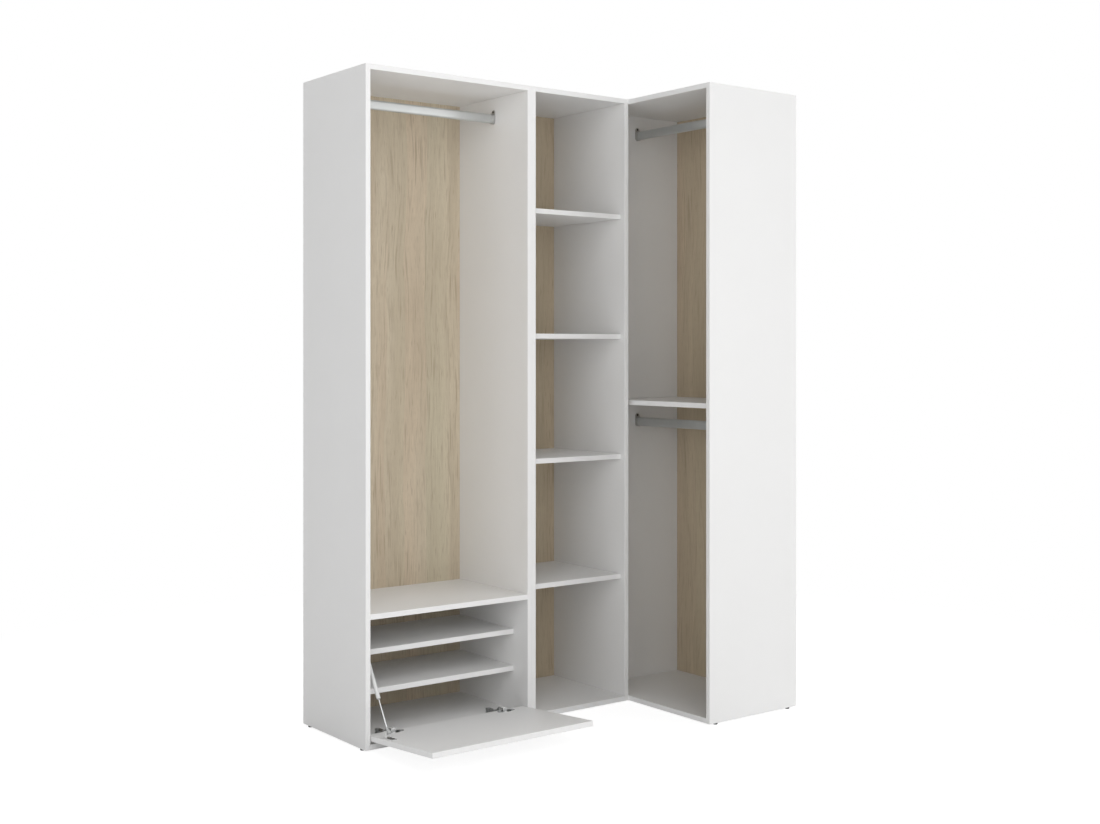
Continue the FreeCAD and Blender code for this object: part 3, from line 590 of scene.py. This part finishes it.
black_plastic, tree, sockets = new_finish("black_plastic", Specular_IOR_Level=0.45)
marks = effect(tree, handling, scale=300.0, roughness=0.48, spread=0.3)
scuffed_black = mixed(tree, effect(tree, worn, radius=0.0008)["Mask"], BLACK_MOULDED, BLACK_SCUFFED)
skin = effect(tree, pebble, scale=1800.0)["Height"]
coat(tree, sockets, scuffed_black, marks["Roughness"], skin, depth=0.00006, strength=0.4)


def softened_mesh(node, name, rounding, *finishes):
    """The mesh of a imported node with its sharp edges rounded, and its curved faces shaded smooth."""
    copy = merged_copy(node)
    for face in copy.faces:
        face.smooth = any(FLAT_ANGLE < edge.calc_face_angle(0) < CORNER_ANGLE for edge in face.edges)
    sharp = [edge for edge in copy.edges if edge.calc_face_angle(0) > CORNER_ANGLE]
    round_over(copy, sharp, rounding, SMALL_ROUNDING_STEPS)
    return finished_mesh(name, copy, *finishes)


def softened(node, name, finish, rounding, slot, body):
    """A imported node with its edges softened, in one finish."""
    stand_for(name, softened_mesh(node, name, rounding, finish), slot, body, node)


softened("glides", "glide_set", black_plastic, GLIDE_ROUNDING, "black_plastic", "carcass")
fastened("glide_nail_set", "glide_nails", nail_tree, zinc, GLIDE_NAIL_HEAD, "zinc_steel", "carcass")

# Screws and angles between the modules
# Four plated screws pull the middle module against the left one. In the hidden corner four pressed steel
# angles, with two screws each, tie the right module to the middle one.
LONG_SCREW_HEAD = 0.0022
SHORT_SCREW_HEAD = 0.0018
SCREW_CROWN = 0.45
SCREW_SHANK_SIDES = 12
FINE_ROUNDING = 0.0003

screw_tree, given = growing_tree("cross_head_screw", *FASTENER_SIZES)
screw_head = cross_head(screw_tree, given["Head Radius"], given["Head Height"], SCREW_CROWN)
screw_shank = pointed_shank(screw_tree, given, SCREW_SHANK_SIDES)
set_on_seats(screw_tree, given, joined(screw_tree, screw_head, screw_shank))

fastened("module_screw_set", "module_screws", screw_tree, zinc, LONG_SCREW_HEAD, "zinc_steel", "carcass")
softened("corner_angles", "corner_angle_set", zinc, FINE_ROUNDING, "zinc_steel", "carcass")
fastened("corner_screw_set", "corner_screws", screw_tree, zinc, SHORT_SCREW_HEAD, "zinc_steel", "carcass")

# Hanging rails
# Oval steel tubes in satin chrome hang clothes. Each end sits in a pressed bracket, held to the side by
# small dark screws in the tab above the rail and in the floor of the socket.
RAILS = ("left_rail", "right_upper_rail", "right_lower_rail")
CHROME_BRIGHT = (0.64, 0.655, 0.65, 1)
CHROME_SOFT = (0.56, 0.575, 0.57, 1)
NICKEL_BRIGHT = (0.62, 0.62, 0.61, 1)
NICKEL_SOFT = (0.40, 0.40, 0.395, 1)
DARK_OXIDE = (0.045, 0.045, 0.048, 1)
DARK_RUBBED = (0.20, 0.20, 0.20, 1)
PRESSED_ROUNDING = 0.0004

# Drawn and rolled metal has fine lines along its length
drawn, drawn_in, drawn_out = shared_effect("drawn_lines", {"Scale": 900.0}, ("Height",))
drawn_noise = stretched(drawn, drawn_in["Scale"], detail=3.0, across=(0.004, 0.004, 1))
drawn.links.new(drawn_noise, drawn_out.inputs["Height"])

chrome, tree, sockets = new_finish("satin_chrome", Metallic=0.72)
marks = effect(tree, handling, scale=28.0, roughness=0.42, spread=0.16)
satin = mixed(tree, marks["Patches"], CHROME_SOFT, CHROME_BRIGHT)
lines = effect(tree, drawn, scale=1500.0)["Height"]
coat(tree, sockets, satin, marks["Roughness"], lines, depth=0.00003, strength=0.35)

nickel, tree, sockets = new_finish("pressed_nickel", Metallic=1.0)
marks = effect(tree, handling, scale=160.0, roughness=0.33, spread=0.22)
rubbed_nickel = mixed(tree, marks["Patches"], NICKEL_SOFT, NICKEL_BRIGHT)
worn_nickel = mixed(tree, effect(tree, worn)["Mask"], rubbed_nickel, NICKEL_BRIGHT)
lines = effect(tree, drawn, scale=2600.0)["Height"]
coat(tree, sockets, worn_nickel, marks["Roughness"], lines, depth=0.00002, strength=0.4)

dark_steel, tree, sockets = new_finish("dark_screw", Metallic=0.8)
marks = effect(tree, handling, scale=400.0, roughness=0.42, spread=0.25)
rubbed_oxide = mixed(tree, effect(tree, worn)["Mask"], DARK_OXIDE, DARK_RUBBED)
crystals = effect(tree, pebble, scale=3000.0)["Height"]
coat(tree, sockets, rubbed_oxide, marks["Roughness"], crystals, depth=0.00002, strength=0.4)

for rail in RAILS:
    softened(rail, rail + "_tube", chrome, FINE_ROUNDING, "rail_chrome", "carcass")
softened("rail_brackets", "rail_bracket_set", nickel, PRESSED_ROUNDING, "bracket_steel", "carcass")
fastened("rail_screw_set", "rail_screws", screw_tree, dark_steel, SHORT_SCREW_HEAD, "dark_screw", "carcass")

# Flap
# The front of the shoe compartment is one more white board, bored for the cups of its hinges.
edged_board("flap_panel", "flap")

# Hinges
# Two concealed hinges carry the flap at its lower edge. Each has a pressed cup let into the flap, a pin,
# and a crooked arm screwed to a winged plate on the bottom, all in nickel-plated steel. The faces of each
# arm that look forward or lie at its top carry a painted highlight in near-white nickel. Its other faces,
# the cups and the plates carry painted shade in a darker steel.
ARM_HIGHLIGHT_BRIGHT = (0.93, 0.935, 0.93, 1)
ARM_HIGHLIGHT_SOFT = (0.86, 0.865, 0.86, 1)
SHADED_STEEL_BRIGHT = (0.40, 0.41, 0.405, 1)
SHADED_STEEL_SOFT = (0.20, 0.205, 0.20, 1)
ARM_ROUNDING = 0.0005
HIGHLIGHT_DEPTH = 0.001
HIGHLIGHT_FACING = 0.5

# A near-white, half-metal nickel: the painted highlight on the arms' forward and top faces.
painted_highlight_nickel, tree, sockets = new_finish("painted_highlight_nickel", Metallic=0.35)
marks = effect(tree, handling, scale=200.0, roughness=0.2, spread=0.16)
highlight_tone = mixed(tree, marks["Patches"], ARM_HIGHLIGHT_SOFT, ARM_HIGHLIGHT_BRIGHT)
lines = effect(tree, drawn, scale=2200.0)["Height"]
coat(tree, sockets, highlight_tone, marks["Roughness"], lines, depth=0.00001, strength=0.3)

# A dark steel: painted shade on the arms' other faces, the cups and the plates.
shaded_hinge_steel, tree, sockets = new_finish("painted_shade_hinge_steel", Metallic=1.0)
marks = effect(tree, handling, scale=180.0, roughness=0.28, spread=0.2)
rubbed_shaded_steel = mixed(tree, marks["Patches"], SHADED_STEEL_SOFT, SHADED_STEEL_BRIGHT)
worn_shaded_steel = mixed(tree, effect(tree, worn)["Mask"], rubbed_shaded_steel, NICKEL_BRIGHT)
lines = effect(tree, drawn, scale=2400.0)["Height"]
coat(tree, sockets, worn_shaded_steel, marks["Roughness"], lines, depth=0.00002, strength=0.4)

softened("hinge_cups", "hinge_cup_pair", shaded_hinge_steel, PRESSED_ROUNDING, "hinge_nickel", "flap")
softened("hinge_pins", "hinge_pin_pair", nickel, FINE_ROUNDING, "hinge_nickel", "flap")
fastened("hinge_cup_screw_set", "hinge_cup_screws", screw_tree, zinc, SHORT_SCREW_HEAD, "zinc_steel", "flap")
softened("hinge_plates", "hinge_plate_pair", shaded_hinge_steel, PRESSED_ROUNDING, "hinge_nickel", "carcass")
arms = softened_mesh("hinge_arms", "hinge_arm_pair", ARM_ROUNDING, shaded_hinge_steel, painted_highlight_nickel)
# Arm faces that look forward or lie within a millimetre of the top take the painted highlight, and the rest
# take painted shade.
highlight_top = max(vertex.co.z for vertex in arms.vertices) - HIGHLIGHT_DEPTH
for face in arms.polygons:
    face.material_index = int(face.normal.y < -HIGHLIGHT_FACING or face.center.z > highlight_top)
stand_for("hinge_arm_pair", arms, "hinge_nickel", "carcass", "hinge_arms")
for holder in ("plate", "arm"):
    fastened(f"hinge_{holder}_screw_set", f"hinge_{holder}_screws", screw_tree, zinc, SHORT_SCREW_HEAD,
             "zinc_steel", "carcass")

# Gas strut
# A painted steel tube holds gas and a piston on a ground rod. Grey plastic sockets snap on to the stud of
# a plate on the left side and on to a foot on the flap, both held by dark screws.
STRUT_LIGHT = (0.74, 0.745, 0.74, 1)
STRUT_SHADE = (0.68, 0.685, 0.68, 1)
STRUT_BARE = (0.60, 0.60, 0.60, 1)
GREY_MOULDED = (0.46, 0.47, 0.465, 1)
GREY_SCUFFED = (0.56, 0.57, 0.565, 1)
TUBE_ROUNDING = 0.0006
SOCKET_ROUNDING = 0.0005

strut_paint, tree, sockets = new_finish("strut_paint", Specular_IOR_Level=0.5)
marks = effect(tree, handling, scale=90.0, roughness=0.34, spread=0.18)
painted = mixed(tree, marks["Patches"], STRUT_SHADE, STRUT_LIGHT)
worn_paint = mixed(tree, effect(tree, worn, amount=0.5)["Mask"], painted, STRUT_BARE)
skin = effect(tree, pebble, scale=900.0)["Height"]
coat(tree, sockets, worn_paint, marks["Roughness"], skin, depth=0.00004, strength=0.35)

grey_plastic, tree, sockets = new_finish("grey_plastic", Specular_IOR_Level=0.45)
marks = effect(tree, handling, scale=220.0, roughness=0.5, spread=0.25)
scuffed_grey = mixed(tree, effect(tree, worn, radius=0.0008)["Mask"], GREY_MOULDED, GREY_SCUFFED)
skin = effect(tree, pebble, scale=1500.0)["Height"]
coat(tree, sockets, scuffed_grey, marks["Roughness"], skin, depth=0.00006, strength=0.4)

softened("strut_plate", "strut_plate_stud", nickel, PRESSED_ROUNDING, "bracket_steel", "carcass")
fastened("strut_plate_screw_set", "strut_plate_screws", screw_tree, dark_steel, SHORT_SCREW_HEAD,
         "dark_screw", "carcass")
softened("strut_tube", "strut_tube_painted", strut_paint, TUBE_ROUNDING, "strut_paint", "strut_barrel")
softened("strut_guide", "strut_guide_bush", grey_plastic, FINE_ROUNDING, "grey_plastic", "strut_barrel")
softened("strut_tube_end", "strut_upper_socket", grey_plastic, SOCKET_ROUNDING, "grey_plastic",
         "strut_barrel")
softened("strut_rod", "strut_rod_ground", chrome, FINE_ROUNDING, "rail_chrome", "strut_plunger")
softened("strut_piston", "strut_piston_head", zinc, FINE_ROUNDING, "zinc_steel", "strut_plunger")
softened("strut_rod_end", "strut_lower_socket", grey_plastic, SOCKET_ROUNDING, "grey_plastic",
         "strut_plunger")
softened("strut_foot", "strut_foot_bracket", nickel, PRESSED_ROUNDING, "bracket_steel", "flap")
fastened("strut_foot_screw_set", "strut_foot_screws", screw_tree, dark_steel, SHORT_SCREW_HEAD,
         "dark_screw", "flap")

# Floor, lamps and camera
# The wardrobe stands on a plain white floor. Large soft lamps stand high on the left, low on the left and
# low on the right. A pale sky is brightest high on the right and lights the rear a little.
CAMERA_PLACE = (-2.777, -3.624, 1.169)
CAMERA_AZIMUTH = math.atan2(0.605, 0.796)
PHOTO_WIDTH = 1100
FOCAL_PIXELS = 1427
HORIZON_ABOVE_CENTRE = 61.5
FLOOR_REACH = 30.0
FLOOR_SHADOW_REACH = (1.2, 2.6)
FLOOR_SHADED = (0.25, 0.25, 0.25, 1)
FLOOR_GLOW = (0.88, 0.88, 0.88, 1)
FLOOR_BOUNCE = (0.92, 0.92, 0.92, 1)
PURE_WHITE = (1, 1, 1, 1)
SKY_LOBES = {"right_high": ((0.49, -0.09, 0.87), 0.5, 1.0, 1.8), "behind": ((0, 1, 0), -0.3, 0.7, 0.285)}
LAMP_TARGET = (-0.1, 0.0, 1.0)
LAMPS = {
    "lamp_left_high": ((-2.2, -3.9, 2.75), 4.6, 93.0),
    "lamp_left_low": ((-7.6, -3.5, 1.75), 5.0, 121.5),
    "lamp_right_low": ((3.07, -3.66, 1.42), 3.0, 32.3),
}


def seen_directly(tree):
    """1 for rays from the camera, or by way of a mirror or glass, and 0 for light that spreads."""
    rays = place(tree, "ShaderNodeLightPath").outputs
    total = math_of(tree, "ADD", rays["Is Camera Ray"], rays["Is Glossy Ray"])
    rows = {0: total, 1: rays["Is Transmission Ray"]}
    return place(tree, "ShaderNodeMath", rows, use_clamp=True).outputs[0]


floor_finish = bpy.data.materials.new("white_floor")
floor_finish.use_nodes = True
tree = floor_finish.node_tree
tree.nodes.clear()
shaded = place(tree, "ShaderNodeBsdfDiffuse", {"Color": FLOOR_SHADED}).outputs["BSDF"]
glow = place(tree, "ShaderNodeEmission", {"Color": FLOOR_GLOW, "Strength": 1.0}).outputs["Emission"]
near_floor = place(tree, "ShaderNodeAddShader", {0: shaded, 1: glow}).outputs["Shader"]
far_floor = place(tree, "ShaderNodeEmission", {"Color": PURE_WHITE, "Strength": 1.0}).outputs["Emission"]
floor_place = place(tree, "ShaderNodeTexCoord").outputs["Object"]
distance = place(tree, "ShaderNodeVectorMath", {0: floor_place}, operation="LENGTH").outputs["Value"]
far_share = ranged(tree, distance, FLOOR_SHADOW_REACH)
pale_floor = place(tree, "ShaderNodeMixShader", {0: far_share, 1: near_floor, 2: far_floor}).outputs["Shader"]
plain_floor = place(tree, "ShaderNodeBsdfDiffuse", {"Color": FLOOR_BOUNCE}).outputs["BSDF"]
floor_mix = place(tree, "ShaderNodeMixShader", {0: seen_directly(tree), 1: plain_floor, 2: pale_floor})
place(tree, "ShaderNodeOutputMaterial", {"Surface": floor_mix.outputs["Shader"]})
floor_mesh = bpy.data.meshes.new("floor")
floor_mesh.from_pydata([(-FLOOR_REACH, -FLOOR_REACH, 0), (FLOOR_REACH, -FLOOR_REACH, 0),
                        (FLOOR_REACH, FLOOR_REACH, 0), (-FLOOR_REACH, FLOOR_REACH, 0)], [], [(0, 1, 2, 3)])
floor_mesh.materials.append(floor_finish)
floor = bpy.data.objects.new("floor", floor_mesh)
scene.collection.objects.link(floor)

world = bpy.data.worlds.new("studio")
scene.world = world
world.use_nodes = True
tree = world.node_tree
tree.nodes.clear()
sky_way = place(tree, "ShaderNodeTexCoord").outputs["Generated"]
sky_light = 0.0
for way, dark_at, bright_at, strength in SKY_LOBES.values():
    facing = place(tree, "ShaderNodeVectorMath", {0: sky_way, 1: way},
                   operation="DOT_PRODUCT").outputs["Value"]
    rows = {"Value": facing, "From Min": dark_at, "From Max": bright_at, "To Max": strength}
    lobe = place(tree, "ShaderNodeMapRange", rows, interpolation_type="SMOOTHSTEP").outputs["Result"]
    sky_light = math_of(tree, "ADD", lobe, sky_light)
soft_sky = place(tree, "ShaderNodeBackground", {"Color": PURE_WHITE, "Strength": sky_light}).outputs[0]
white_sky = place(tree, "ShaderNodeBackground", {"Color": PURE_WHITE, "Strength": 1.0}).outputs[0]
sky = place(tree, "ShaderNodeMixShader", {0: seen_directly(tree), 1: soft_sky, 2: white_sky}).outputs[0]
place(tree, "ShaderNodeOutputWorld", {"Surface": sky})

for name, (spot, size, power) in LAMPS.items():
    lamp = bpy.data.lights.new(name, "AREA")
    lamp.shape = "SQUARE"
    lamp.size = size
    lamp.energy = power
    stand = bpy.data.objects.new(name, lamp)
    stand.location = spot
    stand.rotation_euler = (Vector(LAMP_TARGET) - Vector(spot)).to_track_quat("-Z", "Y").to_euler()
    stand.visible_camera = False
    scene.collection.objects.link(stand)

lens = bpy.data.cameras.new("camera")
lens.sensor_width = 36.0
lens.lens = lens.sensor_width * FOCAL_PIXELS / PHOTO_WIDTH
lens.shift_y = -HORIZON_ABOVE_CENTRE / PHOTO_WIDTH
lens.clip_end = 100.0
camera = bpy.data.objects.new("camera", lens)
camera.location = CAMERA_PLACE
camera.rotation_euler = (math.pi / 2, 0, -CAMERA_AZIMUTH)
scene.collection.objects.link(camera)
scene.camera = camera
scene.view_settings.view_transform = "Standard"
